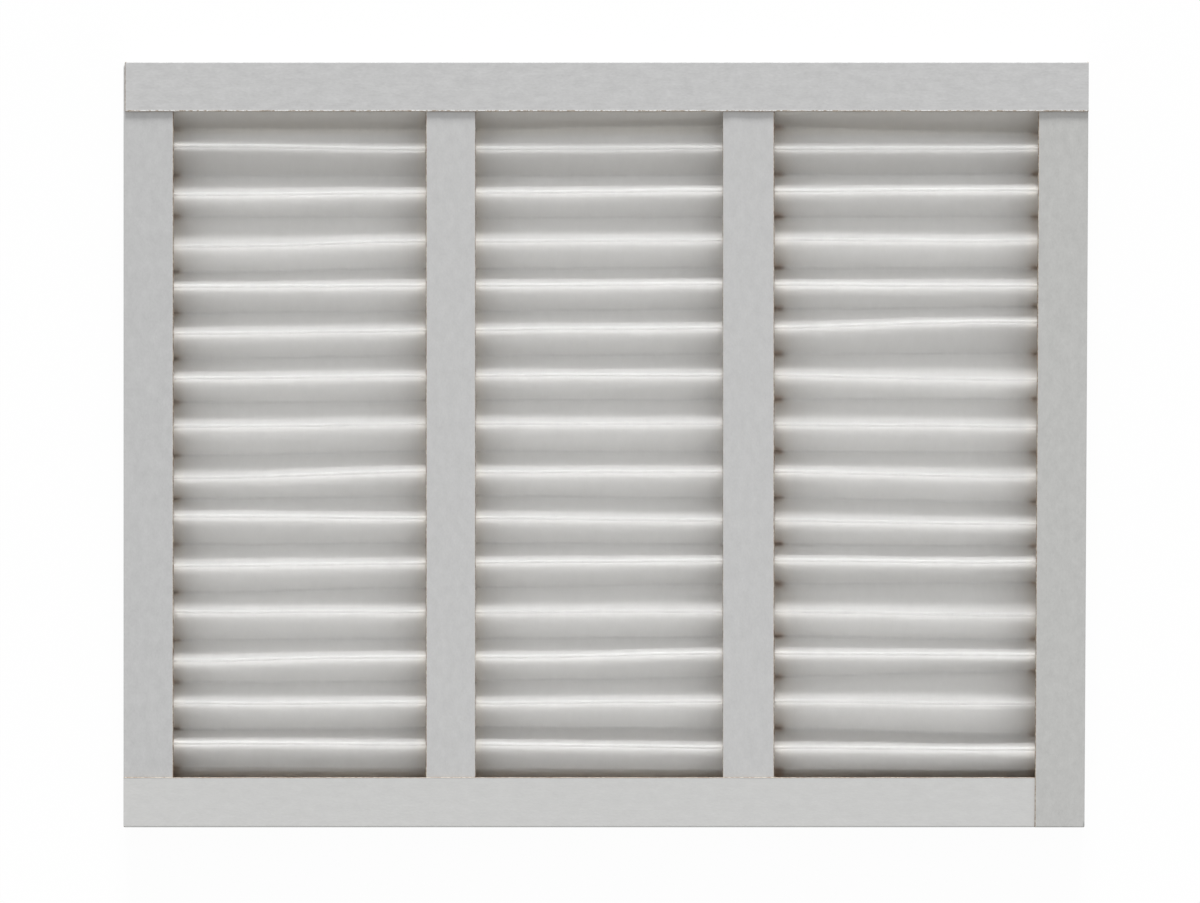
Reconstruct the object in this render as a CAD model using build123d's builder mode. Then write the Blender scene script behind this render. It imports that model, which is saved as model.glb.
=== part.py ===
from build123d import *
import os

os.makedirs("parts", exist_ok=True)

# The filter lies on its rear face: X runs along the width, Y up the height, Z from rear to front.
# Outside of the frame, as it fits a 20 by 16 by 1 inch slot
frame_width = 495.3
frame_height = 393.7
frame_depth = 19.05

# Paperboard of the frame and the straps
board = 0.7
fold_radius = 0.9
front_lip = 25.5
rear_lip = 28.4
tab_length = 22.0
cut_inset = 0.5

# Room between two glued layers, and at the cut ends inside the frame
glue_gap = 0.1
end_clearance = 0.6

# Straps across the pleats: middle of each from the middle of the frame, and its width
left_strap_x = -79.4
left_strap_width = 25.2
right_strap_x = 73.8
right_strap_width = 26.2
rear_right_strap_x = 78.8
strap_to_bend = 8.0

# Filter sheet: each fold is pressed to a narrow flat land with a small radius at both sides
sheet = 0.9
pleat_pitch = 23.5
least_flap = 5.0
land_width = 1.6
crease_radius = 0.6
valley_drop = 1.0

# How far each ridge lies below its even place, from the top one down
ridge_drift = (1.1, 1.2, -0.6, 1.6, -0.3, -0.1, 0.1, 2.4, 2.0, 2.7, 1.9, 4.1, 2.3, 3.5, 1.6, 4.5)

# A lip that lies over another one stands this much further out
lap_step = board + glue_gap

# Frame

half_width = frame_width / 2
half_height = frame_height / 2

# Section planes of the four sides in the order of the wrap, each at the corner where its side starts:
# local x points into the frame and local y is up
left_side = Plane(origin=(-half_width, half_height, 0), x_dir=(1, 0, 0), z_dir=(0, -1, 0))
bottom_side = Plane(origin=(-half_width, -half_height, 0), x_dir=(0, 1, 0), z_dir=(1, 0, 0))
right_side = Plane(origin=(half_width, -half_height, 0), x_dir=(-1, 0, 0), z_dir=(0, 1, 0))
top_side = Plane(origin=(half_width, half_height, 0), x_dir=(0, -1, 0), z_dir=(-1, 0, 0))

# The bottom lips stay out over the straps, and drop only beyond the rightmost one
lap_width = max(front_lip, rear_lip)
last_strap_edge = half_width + max(right_strap_x, rear_right_strap_x) + right_strap_width / 2
bottom_bend = last_strap_edge + strap_to_bend
tab_corner = lap_step + fold_radius

# Each side has stations: the distance from its start, and how far both lips sit in from the outermost
wrap = (
    (left_side, ((fold_radius, lap_step), (frame_height - fold_radius, lap_step))),
    (
        bottom_side,
        (
            (fold_radius, 0),
            (bottom_bend, 0),
            (frame_width - lap_width, lap_step),
            (frame_width - fold_radius, lap_step),
        ),
    ),
    (
        right_side,
        (
            (fold_radius, 0),
            (lap_width, 0),
            (frame_height - lap_width, lap_step),
            (frame_height - fold_radius, lap_step),
        ),
    ),
    (top_side, ((fold_radius, 0), (frame_width - tab_corner, 0))),
)

# Ends of the lips that lie over their neighbour: where the channel stops, and the run to the cut end
lap_ends = (
    (bottom_side, fold_radius, -fold_radius),
    (right_side, fold_radius, -fold_radius),
    (top_side, fold_radius, -fold_radius),
    (top_side, frame_width - tab_corner, tab_corner - cut_inset),
)

# Middle of each upright corner fold and the angle at which it starts; the last one turns the tab in
corner_folds = (
    (-half_width + fold_radius, -half_height + fold_radius, 180),
    (half_width - fold_radius, -half_height + fold_radius, 270),
    (half_width - fold_radius, half_height - fold_radius, 0),
    (-half_width + tab_corner, half_height - fold_radius, 90),
)
corner_foot = lap_step + fold_radius
corner_height = frame_depth - 2 * corner_foot
fold_middle = fold_radius - board / 2

with BuildPart() as frame:
    # Channels: front lip, wall and rear lip in one folded section, carried from station to station
    for side, stations in wrap:
        for distance, drop in stations:
            front_middle = frame_depth - drop - board / 2
            rear_middle = drop + board / 2
            with BuildSketch(side.offset(distance)):
                with BuildLine():
                    FilletPolyline(
                        (front_lip, front_middle),
                        (board / 2, front_middle),
                        (board / 2, rear_middle),
                        (rear_lip, rear_middle),
                        radius=fold_middle,
                    )
                trace(line_width=board)
        loft(ruled=True)

    # Lips that run on over the corner to their cut ends
    for side, distance, run in lap_ends:
        with BuildSketch(side.offset(distance)):
            with Locations((board, frame_depth)):
                Rectangle(front_lip - board, board, align=(Align.MIN, Align.MAX))
            with Locations((board, 0)):
                Rectangle(rear_lip - board, board, align=(Align.MIN, Align.MIN))
        extrude(amount=run)

    # Wall folded round the four corners, with the closing tab inside the left wall
    with BuildSketch(Plane.XY.offset(corner_foot)):
        for x, y, angle in corner_folds:
            with BuildLine():
                CenterArc((x, y), fold_middle, angle, 90)
            trace(line_width=board)
        with Locations((-half_width + lap_step, half_height - fold_radius)):
            Rectangle(board, tab_length, align=(Align.MIN, Align.MAX))
    extrude(amount=corner_height)

    # Raw end of the left wall, outside the tab
    with BuildSketch(Plane.XY.offset(corner_foot)):
        with Locations((-half_width, half_height)):
            Rectangle(board, fold_radius, align=(Align.MIN, Align.MAX))
    extrude(amount=corner_height)

frame.part.label = "frame"
export_step(frame.part, "parts/frame.step")

# Pleated sheet, between the planes where straps and lips lie against its folds
seat = lap_step + board
ridge_level = frame_depth - seat - sheet / 2
valley_level = seat + sheet / 2
clear_height = frame_height - 2 * (board + end_clearance)
clear_width = frame_width - 2 * (board + lap_step + end_clearance)
pleat_count = int((clear_height - 2 * least_flap) // pleat_pitch)
top_ridge = (pleat_count - 1) * pleat_pitch / 2

ridges = [
    top_ridge - number * pleat_pitch - ridge_drift[number % len(ridge_drift)]
    for number in range(pleat_count)
]
valleys = [ridge - pleat_pitch / 2 - valley_drop for ridge in ridges]
valleys.insert(0, ridges[0] + pleat_pitch / 2 - valley_drop)

fold_line = [(clear_height / 2, valley_level), (valleys[0] - land_width / 2, valley_level)]
for ridge, valley in zip(ridges, valleys[1:]):
    fold_line.append((ridge + land_width / 2, ridge_level))
    fold_line.append((ridge - land_width / 2, ridge_level))
    fold_line.append((valley + land_width / 2, valley_level))
    fold_line.append((valley - land_width / 2, valley_level))
fold_line[-1] = (-clear_height / 2, valley_level)

with BuildPart() as pleated_media:
    with BuildSketch(Plane.YZ):
        with BuildLine():
            FilletPolyline(*fold_line, radius=crease_radius)
        trace(line_width=sheet)
    extrude(amount=clear_width / 2, both=True)

pleated_media.part.label = "pleated_media"
export_step(pleated_media.part, "parts/pleated_media.step")

# Straps, flat on the folds, with their ends under the top and bottom lips
front_seat = frame_depth - seat
rear_seat = seat - board
straps = (
    ("front_strap_left", left_strap_x, left_strap_width, front_seat),
    ("front_strap_right", right_strap_x, right_strap_width, front_seat),
    ("rear_strap_left", left_strap_x, left_strap_width, rear_seat),
    ("rear_strap_right", rear_right_strap_x, right_strap_width, rear_seat),
)

for name, middle, width, foot in straps:
    with BuildPart() as strap:
        with BuildSketch(Plane.XY.offset(foot)):
            with Locations((middle, 0)):
                Rectangle(width, clear_height)
        extrude(amount=board)
    strap.part.label = name
    export_step(strap.part, f"parts/{name}.step")
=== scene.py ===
import math
import bmesh
import bpy
from mathutils import Matrix, Vector, noise


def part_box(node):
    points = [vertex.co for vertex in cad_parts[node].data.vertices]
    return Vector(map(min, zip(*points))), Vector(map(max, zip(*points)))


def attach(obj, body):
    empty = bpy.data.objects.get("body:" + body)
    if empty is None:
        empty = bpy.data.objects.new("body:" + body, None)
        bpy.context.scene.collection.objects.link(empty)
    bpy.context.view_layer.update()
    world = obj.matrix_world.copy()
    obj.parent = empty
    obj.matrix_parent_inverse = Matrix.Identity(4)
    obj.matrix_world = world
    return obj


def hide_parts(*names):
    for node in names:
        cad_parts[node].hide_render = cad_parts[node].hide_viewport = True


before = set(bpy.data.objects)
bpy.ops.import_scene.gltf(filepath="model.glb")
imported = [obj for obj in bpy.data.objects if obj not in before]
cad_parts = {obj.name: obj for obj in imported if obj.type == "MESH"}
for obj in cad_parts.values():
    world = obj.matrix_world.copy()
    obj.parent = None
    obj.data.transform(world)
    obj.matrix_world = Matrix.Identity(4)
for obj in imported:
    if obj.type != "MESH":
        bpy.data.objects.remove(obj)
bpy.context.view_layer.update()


# Frame: one strip of paperboard with a pale coating, die-cut and scored, folded into a channel and
# wrapped round the pleats. Each side's lips lie over the side before it and are glued down there. The
# brown core shows at the cut edges. The pale strip along the edge of the top lip is partly the die's
# burr and partly a painted highlight, and each side's grey is painted light and shade.

low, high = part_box("frame")
frame_width = high.x - low.x
frame_height = high.y - low.y
frame_depth = high.z
half_width = frame_width / 2
half_height = frame_height / 2
mid_level = frame_depth / 2
board = 0.0007
fold_radius = 0.0006
fold_steps = 5
lap_step = 0.0008
front_lip = 0.0255
rear_lip = 0.0284
tab_length = 0.022
tab_corner = lap_step + fold_radius
cut_inset = 0.0010
cut_slope = 0.0003
burr_width = 0.0006
fringe_width = 0.00022
flat_margin = 0.0003
station_step = 0.0025
same_place = 0.000001
right_lean = 0.0028
bottom_bend = 0.3476
quarter = math.pi / 2
# A cut edge wanders slowly and is finely ragged: waves to the metre, how far they reach, and seeds
wander_scale = 160
wander_reach = 0.00012
rag_scale = 700
rag_reach = 0.00008
lip_scale = 40
side_seed = 9
rag_seed = 40
# The die lifts an edge by this much, and the rag changes that by this share
burr_lift = 0.000162
edge_lift = 0.000054
lift_rag = 0.9
# Painted light and shade: one board's grey, set lighter or darker on each side for how the light falls
# there
top_lit_grey = (0.539, 0.539, 0.538)
bottom_lit_grey = (0.578, 0.578, 0.570)
left_lit_grey = (0.512, 0.513, 0.512)
right_lit_grey = (0.494, 0.494, 0.483)
# The top lip's pale edge strip is partly the die's burr and partly a painted highlight
burr_highlight_white = (0.90, 0.90, 0.885)
burr_brown = (0.46, 0.39, 0.32)
core_brown = (0.25, 0.17, 0.11)
core_pale = (0.50, 0.44, 0.36)


def add_node(tree, kind, **settings):
    """A shader node with its settings, and with values for its inputs by name or number."""
    node = tree.nodes.new(kind)
    for key, value in settings.items():
        if key == "inputs":
            for socket, level in value.items():
                node.inputs[socket].default_value = level
        else:
            setattr(node, key, value)
    return node


def new_material(name):
    """An empty node material with its output node."""
    material = bpy.data.materials.new(name)
    material.use_nodes = True
    material.node_tree.nodes.clear()
    return material, material.node_tree, add_node(material.node_tree, "ShaderNodeOutputMaterial")


def make_mottle():
    """Group: uneven tone of a fibrous surface, as a factor round 1, and its small height."""
    group = bpy.data.node_groups.new("fibre_mottle", "ShaderNodeTree")
    group.interface.new_socket(name="Place", in_out="INPUT", socket_type="NodeSocketVector")
    for name, level in (("Clouds", 90.0), ("Grain", 900.0), ("Contrast", 0.03)):
        socket = group.interface.new_socket(name=name, in_out="INPUT", socket_type="NodeSocketFloat")
        socket.default_value = level
    for name in ("Tone", "Height"):
        group.interface.new_socket(name=name, in_out="OUTPUT", socket_type="NodeSocketFloat")
    start = add_node(group, "NodeGroupInput")
    end = add_node(group, "NodeGroupOutput")
    clouds = add_node(group, "ShaderNodeTexNoise", inputs={"Detail": 3.0, "Roughness": 0.6})
    grain = add_node(group, "ShaderNodeTexNoise", inputs={"Detail": 4.0, "Roughness": 0.65})
    both = add_node(group, "ShaderNodeMath", operation="ADD")
    centred = add_node(group, "ShaderNodeMath", operation="SUBTRACT", inputs={1: 1.0})
    scaled = add_node(group, "ShaderNodeMath", operation="MULTIPLY")
    tone = add_node(group, "ShaderNodeMath", operation="ADD", inputs={1: 1.0})
    join = group.links.new
    for texture, scale in ((clouds, "Clouds"), (grain, "Grain")):
        join(start.outputs["Place"], texture.inputs["Vector"])
        join(start.outputs[scale], texture.inputs["Scale"])
    join(clouds.outputs[0], both.inputs[0])
    join(grain.outputs[0], both.inputs[1])
    join(both.outputs[0], centred.inputs[0])
    join(centred.outputs[0], scaled.inputs[0])
    join(start.outputs["Contrast"], scaled.inputs[1])
    join(scaled.outputs[0], tone.inputs[0])
    join(tone.outputs[0], end.inputs["Tone"])
    join(grain.outputs[0], end.inputs["Height"])
    return group


fibre_mottle = make_mottle()


def board_material(name, colour, along, spots=None, contrast=0.18):
    """Matt board: a colour with fine mottle drawn out along the strip, and spots of a second colour."""
    material, tree, output = new_material(name)
    join = tree.links.new
    place = add_node(tree, "ShaderNodeTexCoord")
    mottle = add_node(tree, "ShaderNodeGroup", node_tree=fibre_mottle,
                      inputs={"Clouds": 260.0, "Grain": 1100.0, "Contrast": contrast})
    drawn = add_node(tree, "ShaderNodeVectorMath", operation="MULTIPLY", inputs={1: along})
    tinted = add_node(tree, "ShaderNodeVectorMath", operation="SCALE", inputs={0: colour})
    bump = add_node(tree, "ShaderNodeBump", inputs={"Strength": 0.35, "Distance": 0.0001})
    surface = add_node(tree, "ShaderNodeBsdfPrincipled",
                       inputs={"Roughness": 0.78, "Specular IOR Level": 0.18})
    join(place.outputs["Object"], drawn.inputs[0])
    join(drawn.outputs[0], mottle.inputs["Place"])
    join(mottle.outputs["Tone"], tinted.inputs["Scale"])
    join(mottle.outputs["Height"], bump.inputs["Height"])
    join(bump.outputs["Normal"], surface.inputs["Normal"])
    join(surface.outputs[0], output.inputs[0])
    if spots is None:
        join(tinted.outputs[0], surface.inputs["Base Color"])
        return material
    dots = add_node(tree, "ShaderNodeTexNoise", inputs={"Scale": 520.0, "Detail": 3.0, "Roughness": 0.7})
    edge = add_node(tree, "ShaderNodeMapRange", inputs={"From Min": 0.44, "From Max": 0.58})
    mixed = add_node(tree, "ShaderNodeMix", data_type="RGBA")
    mixed.inputs["B"].default_value = (*spots, 1)
    join(place.outputs["Object"], dots.inputs["Vector"])
    join(dots.outputs[0], edge.inputs["Value"])
    join(edge.outputs[0], mixed.inputs["Factor"])
    join(tinted.outputs[0], mixed.inputs["A"])
    join(mixed.outputs["Result"], surface.inputs["Base Color"])
    return material


along_width = (0.4, 1, 1)
along_height = (1, 0.6, 1)
# The four sides are lit and shaded copies of one board: painted light and shade
left_board_lit = board_material("left_board_lit", left_lit_grey, along_height, contrast=0.21)
bottom_board_lit = board_material("bottom_board_lit", bottom_lit_grey, along_width, contrast=0.13)
right_board_lit = board_material("right_board_lit", right_lit_grey, along_height, contrast=0.22)
top_board_lit = board_material("top_board_lit", top_lit_grey, along_width, contrast=0.27)
board_core = board_material("board_core", core_brown, along_width, core_pale, 0.3)
# Edge strip of the top lip: partly pale burr, partly a painted highlight
board_burr_highlight = board_material("board_burr_highlight", burr_highlight_white, along_width, burr_brown, 0.1)
frame_finishes = (left_board_lit, bottom_board_lit, right_board_lit, top_board_lit, board_burr_highlight, board_core)
LEFT, BOTTOM, RIGHT, TOP, BURR, CUT = range(len(frame_finishes))
edge_finish = {LEFT: CUT, BOTTOM: BOTTOM, RIGHT: CUT, TOP: BURR}


def waver(x, y, z):
    """Smooth noise at a place, from -1 to 1."""
    return noise.noise(Vector((x, y, z)))


def drop_at(stations, distance):
    """How far the lips sit in at a distance along the side, straight between stations."""
    for (start, first), (stop, last) in zip(stations, stations[1:]):
        if distance <= stop:
            share = (distance - start) / (stop - start)
            return first + (last - first) * min(max(share, 0), 1)
    return stations[-1][1]


def grow(shape, edges, move):
    """Extrude open edges by a move, and give the new vertices, edges and faces."""
    grown = bmesh.ops.extrude_edge_only(shape, edges=edges)["geom"]
    kinds = (bmesh.types.BMVert, bmesh.types.BMEdge, bmesh.types.BMFace)
    verts, edges, faces = ([g for g in grown if isinstance(g, kind)] for kind in kinds)
    bmesh.ops.translate(shape, verts=verts, vec=move)
    return verts, edges, faces


def put_in(strip, part):
    """Put a finished part of the frame into the strip."""
    scratch = bpy.data.meshes.new("part")
    part.to_mesh(scratch)
    part.free()
    strip.from_mesh(scratch)
    bpy.data.meshes.remove(scratch)


def add_side(strip, finish, corner, start, stop, start_run, stop_run, stations):
    """One side of the channel, as the outside of the board, with its lips run on past either end."""
    side = bmesh.new()
    flat = fold_radius + flat_margin
    edge_width = burr_width if finish == TOP else fringe_width
    corners = ((front_lip, frame_depth), (front_lip - edge_width, frame_depth),
               (front_lip - edge_width - flat_margin, frame_depth), (flat, frame_depth),
               (0, frame_depth), (0, frame_depth - flat), (0, flat), (0, 0), (flat, 0), (rear_lip, 0))
    line = [side.verts.new((start, y, z)) for y, z in corners]
    for a, b in zip(line, line[1:]):
        side.edges.new((a, b))
    folds = [v for v, place in zip(line, corners) if place in ((0, frame_depth), (0, 0))]
    bmesh.ops.bevel(side, geom=folds, offset=fold_radius, segments=fold_steps, profile=0.5,
                    affect="VERTICES", material=-1)
    steps = round((stop - start) / station_step)
    bmesh.ops.spin(side, geom=side.verts[:] + side.edges[:], cent=(0, 0, 0), axis=(1, 0, 0),
                   dvec=((stop - start) / steps, 0, 0), angle=0, steps=steps, use_duplicate=False)
    # The lips run on over the corners, and the last end of the top lip is cut on a slant
    cut_faces = []
    for end, run in ((start, -start_run), (stop, stop_run)):
        if run:
            lips = [e for e in side.edges if all(
                abs(v.co.x - end) < same_place and v.co.y > fold_radius - same_place
                for v in e.verts)]
            tongue, tips = grow(side, lips, (run, 0, 0))[:2]
            for v in tongue:
                if v.co.y < 2 * fold_radius:
                    v.co.y = board / 2
            if finish == TOP and run > 0:
                front = [e for e in tips if all(v in tongue and v.co.z > mid_level for v in e.verts)]
                cut_faces = grow(side, front, (cut_slope, 0, -cut_slope))[2]
    bmesh.ops.recalc_face_normals(side, faces=side.faces[:])
    wall = min(side.faces, key=lambda f: f.calc_center_median().y)
    if wall.normal.y > 0:
        bmesh.ops.reverse_faces(side, faces=side.faces[:])
    for face in side.faces:
        centre = face.calc_center_median()
        if face in cut_faces:
            face.material_index = CUT
        elif centre.y > front_lip - edge_width and centre.z > mid_level:
            face.material_index = edge_finish[finish]
        else:
            face.material_index = finish
    # The bottom lip's cut stays crisp, so that its flat face isn't shaded as if it bent there
    if finish == BOTTOM:
        for edge in side.edges:
            edge.smooth = not edge.is_boundary
    turn = (finish - BOTTOM) * quarter
    lift = burr_lift if finish == TOP else edge_lift
    for v in side.verts:
        at_edge = v.co.y > (front_lip if v.co.z > mid_level else rear_lip) - fringe_width / 2
        v.co.z = mid_level + (v.co.z - mid_level) * (1 - drop_at(stations, v.co.x) / mid_level)
        if at_edge:
            wander = waver(v.co.x * wander_scale, turn * side_seed, v.co.z * lip_scale)
            rag = waver(v.co.x * rag_scale, turn * side_seed + rag_seed, v.co.z * lip_scale)
            v.co.y += wander_reach * wander + rag_reach * rag
            if v.co.z > mid_level:
                v.co.z += lift * (1 + lift_rag * rag)
    bmesh.ops.transform(side, matrix=Matrix.Translation(corner) @ Matrix.Rotation(turn, 4, "Z"),
                        verts=side.verts[:])
    put_in(strip, side)


def add_fold(strip, x, y, angle, foot, top):
    """The wall turned round one upright corner."""
    bent = bmesh.new()
    start = Vector((x, y, 0)) + Matrix.Rotation(angle, 3, "Z") @ Vector((fold_radius, 0, 0))
    bent.edges.new([bent.verts.new((start.x, start.y, z)) for z in (foot, top)])
    bmesh.ops.spin(bent, geom=bent.verts[:] + bent.edges[:], cent=(x, y, 0), axis=(0, 0, 1),
                   angle=quarter, steps=fold_steps, use_duplicate=False)
    for face in bent.faces:
        outwards = face.calc_center_median() - Vector((x, y, 0))
        if face.normal.dot(Vector((outwards.x, outwards.y, 0))) < 0:
            face.normal_flip()
    put_in(strip, bent)


def finish_sheet(name, strip, finishes, core, thickness, even=True):
    """An object from a thin sheet's outer face, thickened inwards, with a core at its cuts and inside."""
    strip.normal_update()
    mesh = bpy.data.meshes.new(name)
    strip.to_mesh(mesh)
    strip.free()
    for polygon in mesh.polygons:
        polygon.use_smooth = True
    piece = bpy.data.objects.new(name, mesh)
    bpy.context.scene.collection.objects.link(piece)
    for material in (*finishes, *[core] * len(finishes)):
        mesh.materials.append(material)
    solid = piece.modifiers.new("thickness", "SOLIDIFY")
    solid.thickness = thickness
    solid.offset = -1
    solid.use_even_offset = even
    solid.material_offset_rim = len(finishes)
    solid.material_offset = len(finishes)
    return piece


strip = bmesh.new()
side_height = frame_height - fold_radius
side_width = frame_width - fold_radius
left_top = Vector((-half_width, half_height, 0))
left_foot = Vector((-half_width, -half_height, 0))
right_foot = Vector((half_width, -half_height, 0))
right_top = Vector((half_width, half_height, 0))
add_side(strip, LEFT, left_top, fold_radius, side_height, 0, 0,
         ((0, lap_step), (frame_height, lap_step)))
add_side(strip, BOTTOM, left_foot, fold_radius, side_width, fold_radius, 0,
         ((0, 0), (bottom_bend, 0), (frame_width - rear_lip, lap_step), (frame_width, lap_step)))
add_side(strip, RIGHT, right_foot, fold_radius, side_height, fold_radius, 0,
         ((0, 0), (rear_lip, 0), (frame_height - rear_lip, lap_step), (frame_height, lap_step)))
add_side(strip, TOP, right_top, fold_radius, frame_width - tab_corner, fold_radius,
         tab_corner - cut_inset, ((0, 0), (frame_width, 0)))

fold_foot = lap_step + fold_radius
fold_top = frame_depth - fold_foot
near = half_width - fold_radius
far = half_height - fold_radius
for x, y, angle in ((-near, -far, 2 * quarter), (near, -far, 3 * quarter), (near, far, 0),
                    (tab_corner - half_width, far, quarter)):
    add_fold(strip, x, y, angle, fold_foot, fold_top)

# The closing tab inside the left wall, and the raw end of the left wall outside it
for x, y, reach in ((-half_width + lap_step, far, tab_length), (-half_width, half_height - board, board)):
    edge = strip.edges.new([strip.verts.new((x, y, z)) for z in (fold_foot, fold_top)])
    panel = grow(strip, [edge], (0, -reach, 0))[2][0]
    panel.normal_update()
    if panel.normal.x > 0:
        panel.normal_flip()

for v in strip.verts:
    v.co.x += right_lean * v.co.y * (1 + v.co.x / half_width)
wrapped_frame = finish_sheet("wrapped_frame", strip, frame_finishes, board_core, board)
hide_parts("frame")
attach(wrapped_frame, "root")


# Straps: four flat strips cut from the same board, glued on the folds on both faces with their ends
# tucked under the top and bottom lips. Slitting lifts their long edges a little, and bares the brown
# core along the outer one of each.

strap_grey = (0.534, 0.534, 0.532)
strap_edge = 0.00022
strap_rows = 170
# Unevenness of a slit edge: waves to the metre, how far they reach sideways, seeds, and uneven lift
slit_wander_scale = 120
slit_wander_reach = 0.00010
slit_wander_seed = 3
slit_rag_scale = 800
slit_rag_seed = 7
slit_rag_lift = 0.00009
slit_side_scale = 30

strap_board = board_material("strap_board", strap_grey, along_height)
for node in ("front_strap_left", "front_strap_right", "rear_strap_left", "rear_strap_right"):
    low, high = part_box(node)
    width = high.x - low.x
    in_front = low.z > mid_level
    outwards = 1 if low.x > 0 else -1
    # Places across the strap, as shares of its width, with a narrow column along both edges
    across = (0, strap_edge / width, 0.2, 0.5, 0.8, 1 - strap_edge / width, 1)
    strap_columns = len(across) - 1
    strip = bmesh.new()
    bmesh.ops.create_grid(strip, x_segments=strap_columns, y_segments=strap_rows, size=0.5)
    for v in strip.verts:
        share = across[round((v.co.x + 0.5) * strap_columns)]
        v.co = Vector((low.x + share * width, low.y + (v.co.y + 0.5) * (high.y - low.y), high.z))
        if share in (0, 1):
            beside = v.co.x * slit_side_scale
            wander = waver(beside, v.co.y * slit_wander_scale, slit_wander_seed)
            rag = waver(beside, v.co.y * slit_rag_scale, slit_rag_seed)
            v.co.x += slit_wander_reach * wander + rag_reach * rag
            v.co.z += edge_lift + slit_rag_lift * rag
    for face in strip.faces:
        past_middle = (face.calc_center_median().x - (low.x + high.x) / 2) * outwards
        face.material_index = 1 if past_middle > width / 2 - strap_edge else 0
    if not in_front:
        for v in strip.verts:
            v.co.z = low.z + high.z - v.co.z
        bmesh.ops.reverse_faces(strip, faces=strip.faces[:])
    strap = finish_sheet(node.replace("strap", "board_strap"), strip,
                         (strap_board, board_core), board_core, board)
    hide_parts(node)
    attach(strap, "root")


# Filter sheet: one web of off-white nonwoven, scored and folded to and fro into sixteen pleats, each
# fold pressed to a narrow double crease. It is stuck by its edges inside the channel. Its colour carries
# painted shade, darker and browner in the valleys beside the uprights and beside the right rear strap,
# where the rear lips and rear strap behind it hold back light, and painted light and shade in other
# bands.

low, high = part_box("pleated_media")
sheet = 0.0009
pleat_pitch = 0.0235
valley_drop = 0.0016
ridge_level = high.z
valley_level = low.z + sheet
flat_end = 0.003
first_lift = 0.0070
last_land = 0.005
millimetre = 0.001
# How far each fold lies below its even place, in millimetres, from the top one down
fold_drift = (1.1, 1.2, -0.6, 1.6, -0.3, -0.1, 0.1, 2.4, 2.0, 2.7, 1.9, 4.1, 2.3, 3.5, 1.6, 4.5)
pleat_count = len(fold_drift)
top_fold = (pleat_count - 1) * pleat_pitch / 2
# How far each fold strays up the frame, in millimetres, at both ends and under both straps
stray_places = (-0.2137, -0.0794, 0.0738, 0.2137)
fold_stray = (
    (-2.5, -2.5, -2.5, -2.5), (1.9, 0.6, 1.0, 0.8), (-1.1, 0.0, 0.9, 1.4), (-2.2, 0.6, 1.1, 0.9),
    (-1.2, -0.5, 0.0, -0.7), (-1.7, 0.1, 1.4, 4.5), (-0.7, 0.4, 0.9, -1.7), (0.0, 1.4, 1.4, 0.0),
    (-3.2, 0.0, 0.0, -2.7), (1.3, 0.6, -1.0, -2.8), (-1.7, 0.0, 1.1, 0.4), (0.3, 0.3, 0.6, -1.2),
    (-2.7, -1.1, 0.7, 0.0), (0.0, 0.0, 0.9, -0.6), (0.9, 0.4, -1.4, -2.2), (0.7, 0.7, 0.7, 0.7),
)
# Valleys that stray up the frame by themselves, by the number of the fold below them
valley_stray = {
    1: (1.0, 2.0, 3.0, 0.0), 3: (3.0, 0.0, 0.0, 0.0), 7: (0.0, 0.0, 0.5, 3.0),
    8: (0.0, 0.0, 0.0, 1.5), 11: (-1.5, 0.0, 1.0, 3.0), 13: (0.0, 0.0, 0.5, 4.8),
    14: (-1.0, 0.0, 0.0, -2.0),
}
no_stray = (0, 0, 0, 0)
# Folds that were crushed a little: number of the fold, where along it, over what length, how deep
crushed = ((13, 0.235, 0.045, 0.0042), (5, 0.20, 0.03, 0.0008), (8, -0.19, 0.04, 0.0008))
# Cross-section through a fold and through a valley, in millimetres: place up the frame and height
crest_shape = ((1.3, -0.95), (1.03, -0.47), (0.78, -0.06), (0.55, 0.0), (0.2, -0.22), (-0.3, -0.24),
               (-0.7, -0.06), (-1.05, -0.32), (-1.5, -0.8), (-2.1, -1.55))
valley_shape = ((0.85, 0.6), (0.45, 0.08), (0.0, 0.0), (-0.45, 0.08), (-0.85, 0.6))
# Unevenness of folds, crests and valleys: waves to the metre, step from fold to fold, seed, reach
fold_wander = (14, 7.3, 1, 0.0005)
fold_rag = (60, 7.3, 5, 0.00012)
crest_dip = (25, 5.1, 9, 0.00012)
valley_wander = (12, 3.7, 21, 0.0006)
# Slow and fine waves of a flank: waves to the metre along it, slant, shift from fold to fold, waves down
# the flank, step from fold to fold, seed, and reach up the frame and in height
flank_waves = ((9, 0, 2.3, 1.5, 4.1, 30, 0.0011, 0.0004), (34, 4, 0, 2.6, 3.3, 50, 0.00045, 0.0002))
down_seed = 9
flank_steps = 5
columns = 118

media_white = (0.889, 0.887, 0.882)
light_through = 0.90
# From the upper flank of the first fold in sight up to the top end under the top lip, the sheet reflects
# more and lets less light through, to set that fold's shading
top_end_zone = ("Y", 0.1580, 0.1615)
top_end_light_through = 0.62
# Painted light and shade on the sheet, each lifting or darkening its tone for how light falls there:
# slopes along an axis, each from where the change isn't seen to where it is full, then the tint, and
# whether it comes in patches
low_down = ("Z", valley_level + 0.0028, valley_level + 0.0008)
past_strap = ("X", 0.0800, 0.0801)
# Painted light: the sheet is made lighter towards the uprights and beside the straps, lifting the shade
# they cast on it
beside_left = (("X", -0.2150, -0.2222),)
beside_right = (("X", 0.2150, 0.2225),)
by_left_strap = (("X", -0.0980, -0.0922), ("X", -0.0610, -0.0660))
by_right_strap = (("X", 0.0550, 0.0605), ("X", 0.0975, 0.0915))
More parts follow.
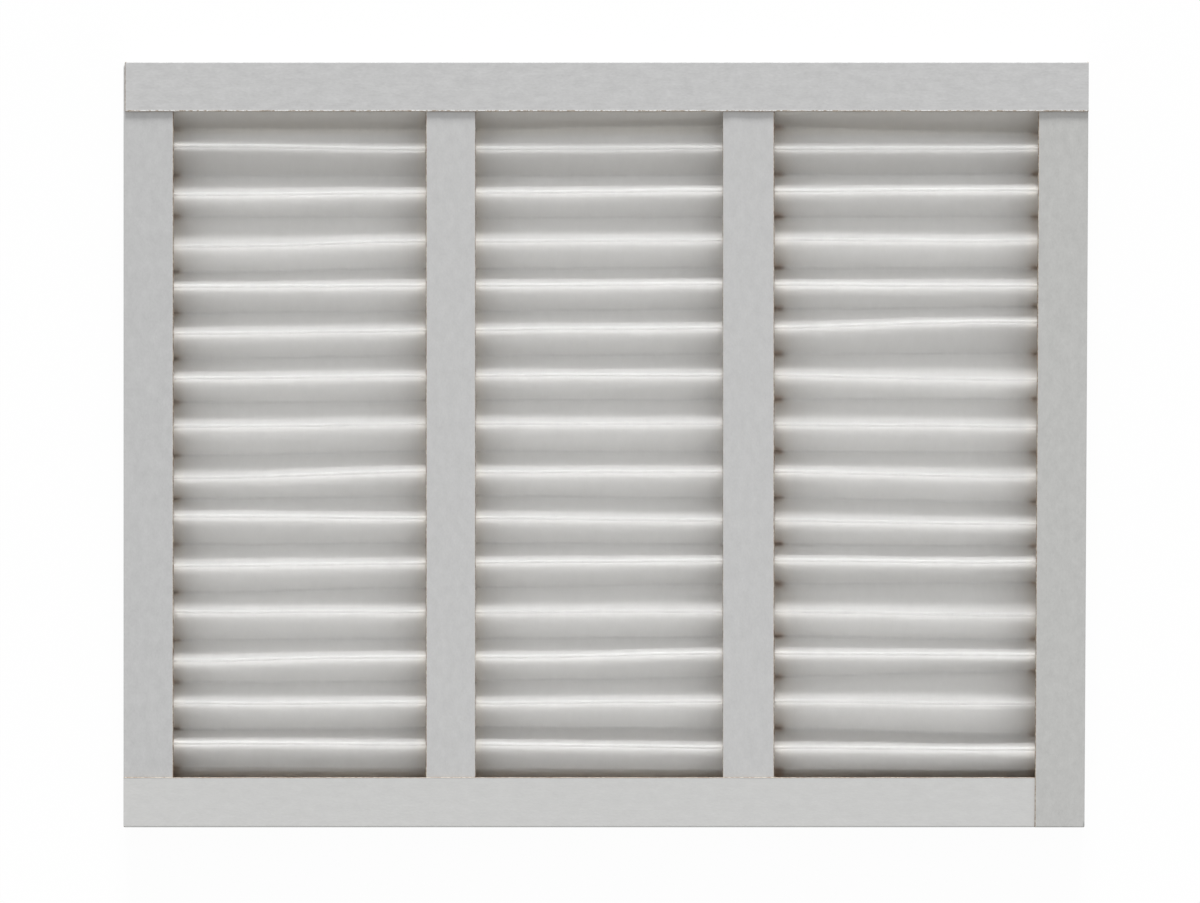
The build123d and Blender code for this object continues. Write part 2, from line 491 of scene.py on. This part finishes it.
# Painted shade: darker, browner valleys, in patches, where the rear lips and the rear strap behind the
# sheet hold back light
rear_lip_shade_left = (("X", -0.2170, -0.2200), low_down)
rear_lip_shade_right = (("X", 0.2175, 0.2210), low_down)
rear_strap_shade = (past_strap, ("X", 0.0930, 0.0905), low_down)
# Painted light and shade above the bottom lip: the last valley a little lighter, and darker over its
# right part
last_valley = ("Y", -0.1635, -0.1690)
last_valley_right = (last_valley, ("X", 0.080, 0.14))
tints = (
    (beside_left, (1.055, 1.044, 1.03), False),
    (beside_right, (1.06, 1.047, 1.03), False),
    (by_left_strap, (1.06, 1.048, 1.03), False),
    (by_right_strap, (1.03, 1.024, 1.016), False),
    (rear_lip_shade_left, (0.95, 0.93, 0.915), True),
    (rear_lip_shade_right, (0.96, 0.935, 0.92), True),
    (rear_strap_shade, (0.91, 0.87, 0.85), True),
    # Painted light: the top end made lighter, lifting the top lip's shade
    ((top_end_zone,), (1.03, 1.02, 1.0), False),
    ((last_valley,), (1.01, 1.005, 1.0), False),
    (last_valley_right, (0.90, 0.897, 0.893), False),
)


def eased(share):
    """A share from 0 to 1 with a soft start and stop."""
    return share * share * (3 - 2 * share)


def between(values, place):
    """A smooth value at a place along the folds, from those at the four stray places."""
    if place <= stray_places[0]:
        return values[0]
    for start, stop, first, last in zip(stray_places, stray_places[1:], values, values[1:]):
        if place <= stop:
            return first + (last - first) * eased((place - start) / (stop - start))
    return values[-1]


def uneven(x, number, wave):
    """How far a fold is off its place at x by one of its waves."""
    scale, step, seed, reach = wave
    return waver(x * scale, number * step, seed) * reach


def fold_place(number, x):
    """How high up the frame a fold lies at x, and the level of its crest."""
    base = top_fold - number * pleat_pitch - fold_drift[number] * millimetre
    wander = uneven(x, number, fold_wander) + uneven(x, number, fold_rag)
    level = ridge_level - crest_dip[-1] - uneven(x, number, crest_dip)
    for crushed_fold, middle, reach, depth in crushed:
        if crushed_fold == number:
            level -= depth * (1 - eased(min(abs(x - middle) / reach, 1)))
    return base + between(fold_stray[number], x) * millimetre + wander, level


def valley_place(number, x):
    """How high up the frame the valley above a fold lies at x."""
    if number == 0:
        return fold_place(0, x)[0] + pleat_pitch / 2 - valley_drop
    above = top_fold - (number - 1) * pleat_pitch - fold_drift[number - 1] * millimetre
    below_stray = fold_stray[min(number, pleat_count - 1)]
    stray = (between(fold_stray[number - 1], x) + between(below_stray, x)) / 2
    stray += between(valley_stray.get(number, no_stray), x)
    wander = uneven(x, number, valley_wander)
    return above - pleat_pitch / 2 - valley_drop + stray * millimetre + wander


def bend(shape, place, level):
    """The points of a cross-section set down at a place up the frame and a level."""
    return [(place + y * millimetre, level + z * millimetre) for y, z in shape]


def flank(start, stop, x, number, down):
    """Points of the slightly wavy sheet between a valley and a fold at one x."""
    points = []
    for step in range(1, flank_steps + 1):
        share = step / (flank_steps + 1)
        y = start[0] + (stop[0] - start[0]) * share
        z = start[1] + (stop[1] - start[1]) * share
        belly = math.sin(share * math.pi) ** 2
        for along, slant, shift, waves, fold_step, seed, sway, lift in flank_waves:
            wave = belly * waver(x * along + share * slant + number * shift,
                                 share * waves + number * fold_step, seed + down_seed * down)
            y += wave * sway
            z += wave * lift
        points.append((y, z))
    return points


def media_line(x):
    """Points of the sheet's outer face from the top end to the bottom end at one x."""
    points = [(high.y, valley_level), (high.y - flat_end, valley_level)]
    for number in range(pleat_count):
        fold, level = fold_place(number, x)
        crest = bend(crest_shape, fold, level)
        if number == 0:
            points += bend(valley_shape[1:], valley_place(number, x), valley_level + first_lift)
        else:
            points += bend(valley_shape, valley_place(number, x), valley_level)
        if number == pleat_count - 1:
            points[-2:] = [(y - last_land, z) for y, z in points[-2:]]
        valley = bend(valley_shape, valley_place(number + 1, x), valley_level)
        points += flank(points[-1], crest[0], x, number, False)
        points += crest
        points += flank(crest[-1], valley[0], x, number, True)
    points += [(low.y + flat_end, valley_level), (low.y, valley_level)]
    return points


lines = []
for column in range(columns + 1):
    place = low.x + (high.x - low.x) * column / columns
    lines.append((place, media_line(place)))
middle_line = lines[columns // 2][1]
rows = len(middle_line)

web = bmesh.new()
bmesh.ops.create_grid(web, x_segments=columns, y_segments=rows - 1, size=0.5)
for v in web.verts:
    place, points = lines[round((v.co.x + 0.5) * columns)]
    v.co = Vector((place, *points[round((0.5 - v.co.y) * (rows - 1))]))
bmesh.ops.recalc_face_normals(web, faces=web.faces[:])
if sum(face.normal.z for face in web.faces) < 0:
    bmesh.ops.reverse_faces(web, faces=web.faces[:])


def media_material():
    """Off-white nonwoven: fine fibres, light shining through it, and painted light and shade by place."""
    material, tree, output = new_material("nonwoven_media")
    join = tree.links.new
    place = add_node(tree, "ShaderNodeTexCoord")
    mottle = add_node(tree, "ShaderNodeGroup", node_tree=fibre_mottle,
                      inputs={"Clouds": 260.0, "Grain": 1500.0, "Contrast": 0.06})
    drawn = add_node(tree, "ShaderNodeVectorMath", operation="MULTIPLY", inputs={1: (1, 0.3, 0.3)})
    tinted = add_node(tree, "ShaderNodeVectorMath", operation="SCALE", inputs={0: media_white})
    bump = add_node(tree, "ShaderNodeBump", inputs={"Strength": 0.5, "Distance": 0.0001})
    surface = add_node(tree, "ShaderNodeBsdfPrincipled",
                       inputs={"Roughness": 0.85, "Specular IOR Level": 0.1})
    across = add_node(tree, "ShaderNodeSeparateXYZ")
    # Patches that break up the painted shade in the valleys
    patches = add_node(tree, "ShaderNodeTexNoise", inputs={"Scale": 38.0, "Detail": 1.0})
    shade_patches = add_node(tree, "ShaderNodeMapRange",
                    inputs={"From Min": 0.3, "From Max": 0.55, "To Min": 0.35})
    join(place.outputs["Object"], across.inputs[0])
    join(place.outputs["Object"], patches.inputs["Vector"])
    join(patches.outputs[0], shade_patches.inputs["Value"])
    colour = tinted.outputs[0]
    for slopes, tint, patchy in tints:
        mask = shade_patches.outputs[0] if patchy else None
        for axis, none, full in slopes:
            slope = add_node(tree, "ShaderNodeMapRange", inputs={"From Min": none, "From Max": full})
            join(across.outputs[axis], slope.inputs["Value"])
            if mask:
                both = add_node(tree, "ShaderNodeMath", operation="MULTIPLY")
                join(mask, both.inputs[0])
                join(slope.outputs[0], both.inputs[1])
                mask = both.outputs[0]
            else:
                mask = slope.outputs[0]
        changed = add_node(tree, "ShaderNodeVectorMath", operation="MULTIPLY", inputs={1: tint})
        blend = add_node(tree, "ShaderNodeMix", data_type="VECTOR")
        join(colour, changed.inputs[0])
        join(mask, blend.inputs["Factor"])
        join(colour, blend.inputs[4])
        join(changed.outputs[0], blend.inputs[5])
        colour = blend.outputs[1]
    glow = add_node(tree, "ShaderNodeBsdfTranslucent")
    mixed = add_node(tree, "ShaderNodeMixShader")
    axis, none, full = top_end_zone
    through = add_node(tree, "ShaderNodeMapRange",
                       inputs={"From Min": none, "From Max": full,
                               "To Min": light_through, "To Max": top_end_light_through})
    join(across.outputs[axis], through.inputs["Value"])
    join(through.outputs[0], mixed.inputs[0])
    join(place.outputs["Object"], drawn.inputs[0])
    join(drawn.outputs[0], mottle.inputs["Place"])
    join(mottle.outputs["Tone"], tinted.inputs["Scale"])
    join(mottle.outputs["Height"], bump.inputs["Height"])
    join(bump.outputs["Normal"], surface.inputs["Normal"])
    join(colour, surface.inputs["Base Color"])
    join(colour, glow.inputs["Color"])
    join(surface.outputs[0], mixed.inputs[1])
    join(glow.outputs[0], mixed.inputs[2])
    join(mixed.outputs[0], output.inputs[0])
    return material


nonwoven_media = media_material()
pleats = finish_sheet("pleated_sheet", web, (nonwoven_media,), nonwoven_media, sheet, even=False)
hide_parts("pleated_media")
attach(pleats, "root")


# Table, light and camera: a plain white table, one low soft lamp from the top of the picture with an
# even sky round it, and a long lens straight above the front face.

table_size = 6.0
table_gap = 0.0002
table_white = (0.9, 0.9, 0.9, 1)
pure_white = (1, 1, 1, 1)
background_share = 0.96
key_strength = 5.3
key_height = math.radians(11.7)
key_softness = math.radians(12)
sky_level = 0.655
lens_millimetres = 291.7
sensor_millimetres = 36
eye_height = 5.0
eye_place = (-0.0026, -0.0036, frame_depth + eye_height)
far_clip = 20

ground = bmesh.new()
bmesh.ops.create_grid(ground, x_segments=1, y_segments=1, size=table_size / 2)
bmesh.ops.translate(ground, verts=ground.verts[:], vec=(0, 0, -table_gap))
mesh = bpy.data.meshes.new("table")
ground.to_mesh(mesh)
ground.free()
table = bpy.data.objects.new("table", mesh)
bpy.context.scene.collection.objects.link(table)
material, tree, output = new_material("table_white")
seen = add_node(tree, "ShaderNodeLightPath")
once = add_node(tree, "ShaderNodeMath", operation="MAXIMUM")
share = add_node(tree, "ShaderNodeMath", operation="MULTIPLY", inputs={1: background_share})
matt = add_node(tree, "ShaderNodeBsdfDiffuse", inputs={"Color": table_white})
white = add_node(tree, "ShaderNodeEmission", inputs={"Color": pure_white, "Strength": 1.0})
mixed = add_node(tree, "ShaderNodeMixShader")
tree.links.new(seen.outputs["Is Camera Ray"], once.inputs[0])
tree.links.new(seen.outputs["Is Glossy Ray"], once.inputs[1])
tree.links.new(once.outputs[0], share.inputs[0])
tree.links.new(share.outputs[0], mixed.inputs[0])
tree.links.new(matt.outputs[0], mixed.inputs[1])
tree.links.new(white.outputs[0], mixed.inputs[2])
tree.links.new(mixed.outputs[0], output.inputs[0])
mesh.materials.append(material)

key = bpy.data.objects.new("key_lamp", bpy.data.lights.new("key_lamp", "SUN"))
key.data.energy = key_strength
key.data.angle = key_softness
key.rotation_euler = (key_height - quarter, 0, 0)
bpy.context.scene.collection.objects.link(key)

world = bpy.data.worlds.new("sky")
world.use_nodes = True
tree = world.node_tree
tree.nodes.clear()
output = add_node(tree, "ShaderNodeOutputWorld")
seen = add_node(tree, "ShaderNodeLightPath")
strength = add_node(tree, "ShaderNodeMapRange", inputs={"To Min": sky_level, "To Max": 1.0})
sky = add_node(tree, "ShaderNodeBackground", inputs={"Color": pure_white})
either = add_node(tree, "ShaderNodeMath", operation="MAXIMUM")
any_seen = add_node(tree, "ShaderNodeMath", operation="MAXIMUM")
tree.links.new(seen.outputs["Is Camera Ray"], either.inputs[0])
tree.links.new(seen.outputs["Is Glossy Ray"], either.inputs[1])
tree.links.new(either.outputs[0], any_seen.inputs[0])
tree.links.new(seen.outputs["Is Transmission Ray"], any_seen.inputs[1])
tree.links.new(any_seen.outputs[0], strength.inputs["Value"])
tree.links.new(strength.outputs[0], sky.inputs["Strength"])
tree.links.new(sky.outputs[0], output.inputs[0])
bpy.context.scene.world = world

camera = bpy.data.objects.new("camera", bpy.data.cameras.new("camera"))
camera.data.sensor_width = sensor_millimetres
camera.data.lens = lens_millimetres
camera.data.clip_end = far_clip
camera.location = eye_place
bpy.context.scene.collection.objects.link(camera)
bpy.context.scene.camera = camera
bpy.context.scene.view_settings.view_transform = "Standard"
